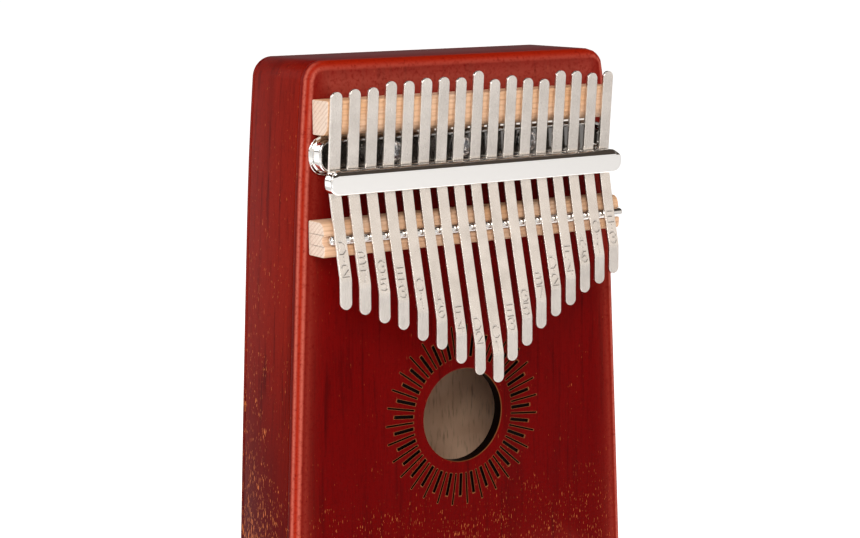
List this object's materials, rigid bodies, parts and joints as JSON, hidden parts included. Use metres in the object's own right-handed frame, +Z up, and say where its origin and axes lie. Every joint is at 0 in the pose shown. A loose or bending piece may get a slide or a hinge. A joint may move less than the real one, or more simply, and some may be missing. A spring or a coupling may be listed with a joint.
{
  "type": "thumb piano",
  "caption": "Hollow wooden box with a round sound hole, and steel tines held by a bar over two bridges, plucked by the thumbs",
  "frame": {"origin": "centre of the flat bottom end of the box, at the middle of the box's depth", "axes": "+Z up the box from its bottom end to the tines' tails, -Y out of the soundboard towards the player, +X to the right as the player sees the front"},
  "size_m": [0.1334, 0.0573, 0.185],
  "materials": {
    "stained_mahogany": "red stain under a satin lacquer, open pores",
    "unfinished_wood": "sanded, no finish",
    "beech": "sanded and oiled",
    "chrome": "bright chrome plate",
    "spring_steel": "satin",
    "steel_rod": "polished",
    "zinc_plated_screw": "bright zinc plate"
  },
  "bodies": {
    "body": {"soundboard": "stained_mahogany", "body_frame": "stained_mahogany", "back_plate": "stained_mahogany", "inner_brace": "unfinished_wood", "rear_bridge": "beech", "front_bridge": "beech", "bridge_rod": "steel_rod", "tray": "chrome", "pressure_bar": "chrome", "tray_screw_1": "zinc_plated_screw", "tray_screw_2": "zinc_plated_screw", "tray_screw_3": "zinc_plated_screw", "bar_screw_1": "zinc_plated_screw", "bar_screw_2": "zinc_plated_screw", "bar_screw_3": "zinc_plated_screw", "bar_screw_4": "zinc_plated_screw"},
    "key_c4": {"tine_c4": "spring_steel"},
    "key_d4": {"tine_d4": "spring_steel"},
    "key_e4": {"tine_e4": "spring_steel"},
    "key_f4": {"tine_f4": "spring_steel"},
    "key_g4": {"tine_g4": "spring_steel"},
    "key_a4": {"tine_a4": "spring_steel"},
    "key_b4": {"tine_b4": "spring_steel"},
    "key_c5": {"tine_c5": "spring_steel"},
    "key_d5": {"tine_d5": "spring_steel"},
    "key_e5": {"tine_e5": "spring_steel"},
    "key_f5": {"tine_f5": "spring_steel"},
    "key_g5": {"tine_g5": "spring_steel"},
    "key_a5": {"tine_a5": "spring_steel"},
    "key_b5": {"tine_b5": "spring_steel"},
    "key_c6": {"tine_c6": "spring_steel"},
    "key_d6": {"tine_d6": "spring_steel"},
    "key_e6": {"tine_e6": "spring_steel"}
  },
  "joints": [
    {"name": "flex_c4", "type": "hinge", "parent": "body", "child": "key_c4", "pos_m": [-0.002, -0.02752, 0.13079], "axis": [1, 0, 0], "range_deg": [-1.5, 3], "stiffness_Nm_per_rad": 3, "deforming": ["tine_c4"]},
    {"name": "flex_d4", "type": "hinge", "parent": "body", "child": "key_d4", "pos_m": [-0.00853, -0.02752, 0.13079], "axis": [1, 0, 0], "range_deg": [-1.5, 3], "stiffness_Nm_per_rad": 3.2, "deforming": ["tine_d4"]},
    {"name": "flex_e4", "type": "hinge", "parent": "body", "child": "key_e4", "pos_m": [0.00453, -0.02752, 0.13079], "axis": [1, 0, 0], "range_deg": [-1.5, 3], "stiffness_Nm_per_rad": 3.42, "deforming": ["tine_e4"]},
    {"name": "flex_f4", "type": "hinge", "parent": "body", "child": "key_f4", "pos_m": [-0.01506, -0.02752, 0.13079], "axis": [1, 0, 0], "range_deg": [-1.5, 3], "stiffness_Nm_per_rad": 3.53, "deforming": ["tine_f4"]},
    {"name": "flex_g4", "type": "hinge", "parent": "body", "child": "key_g4", "pos_m": [0.01106, -0.02752, 0.13079], "axis": [1, 0, 0], "range_deg": [-1.5, 3], "stiffness_Nm_per_rad": 3.77, "deforming": ["tine_g4"]},
    {"name": "flex_a4", "type": "hinge", "parent": "body", "child": "key_a4", "pos_m": [-0.02159, -0.02752, 0.13079], "axis": [1, 0, 0], "range_deg": [-1.5, 3], "stiffness_Nm_per_rad": 4.03, "deforming": ["tine_a4"]},
    {"name": "flex_b4", "type": "hinge", "parent": "body", "child": "key_b4", "pos_m": [0.01759, -0.02752, 0.13079], "axis": [1, 0, 0], "range_deg": [-1.5, 3], "stiffness_Nm_per_rad": 4.3, "deforming": ["tine_b4"]},
    {"name": "flex_c5", "type": "hinge", "parent": "body", "child": "key_c5", "pos_m": [-0.02812, -0.02752, 0.13079], "axis": [1, 0, 0], "range_deg": [-1.5, 3], "stiffness_Nm_per_rad": 4.45, "deforming": ["tine_c5"]},
    {"name": "flex_d5", "type": "hinge", "parent": "body", "child": "key_d5", "pos_m": [0.02412, -0.02752, 0.13079], "axis": [1, 0, 0], "range_deg": [-1.5, 3], "stiffness_Nm_per_rad": 4.75, "deforming": ["tine_d5"]},
    {"name": "flex_e5", "type": "hinge", "parent": "body", "child": "key_e5", "pos_m": [-0.03465, -0.02752, 0.13079], "axis": [1, 0, 0], "range_deg": [-1.5, 3], "stiffness_Nm_per_rad": 5.07, "deforming": ["tine_e5"]},
    {"name": "flex_f5", "type": "hinge", "parent": "body", "child": "key_f5", "pos_m": [0.03065, -0.02752, 0.13079], "axis": [1, 0, 0], "range_deg": [-1.5, 3], "stiffness_Nm_per_rad": 5.24, "deforming": ["tine_f5"]},
    {"name": "flex_g5", "type": "hinge", "parent": "body", "child": "key_g5", "pos_m": [-0.04118, -0.02752, 0.13079], "axis": [1, 0, 0], "range_deg": [-1.5, 3], "stiffness_Nm_per_rad": 5.6, "deforming": ["tine_g5"]},
    {"name": "flex_a5", "type": "hinge", "parent": "body", "child": "key_a5", "pos_m": [0.03718, -0.02752, 0.13079], "axis": [1, 0, 0], "range_deg": [-1.5, 3], "stiffness_Nm_per_rad": 5.98, "deforming": ["tine_a5"]},
    {"name": "flex_b5", "type": "hinge", "parent": "body", "child": "key_b5", "pos_m": [-0.04771, -0.02752, 0.13079], "axis": [1, 0, 0], "range_deg": [-1.5, 3], "stiffness_Nm_per_rad": 6.38, "deforming": ["tine_b5"]},
    {"name": "flex_c6", "type": "hinge", "parent": "body", "child": "key_c6", "pos_m": [0.04371, -0.02752, 0.13079], "axis": [1, 0, 0], "range_deg": [-1.5, 3], "stiffness_Nm_per_rad": 6.59, "deforming": ["tine_c6"]},
    {"name": "flex_d6", "type": "hinge", "parent": "body", "child": "key_d6", "pos_m": [-0.05424, -0.02752, 0.13079], "axis": [1, 0, 0], "range_deg": [-1.5, 3], "stiffness_Nm_per_rad": 7.04, "deforming": ["tine_d6"]},
    {"name": "flex_e6", "type": "hinge", "parent": "body", "child": "key_e6", "pos_m": [0.05024, -0.02752, 0.13079], "axis": [1, 0, 0], "range_deg": [-1.5, 3], "stiffness_Nm_per_rad": 7.52, "deforming": ["tine_e6"]}
  ]
}
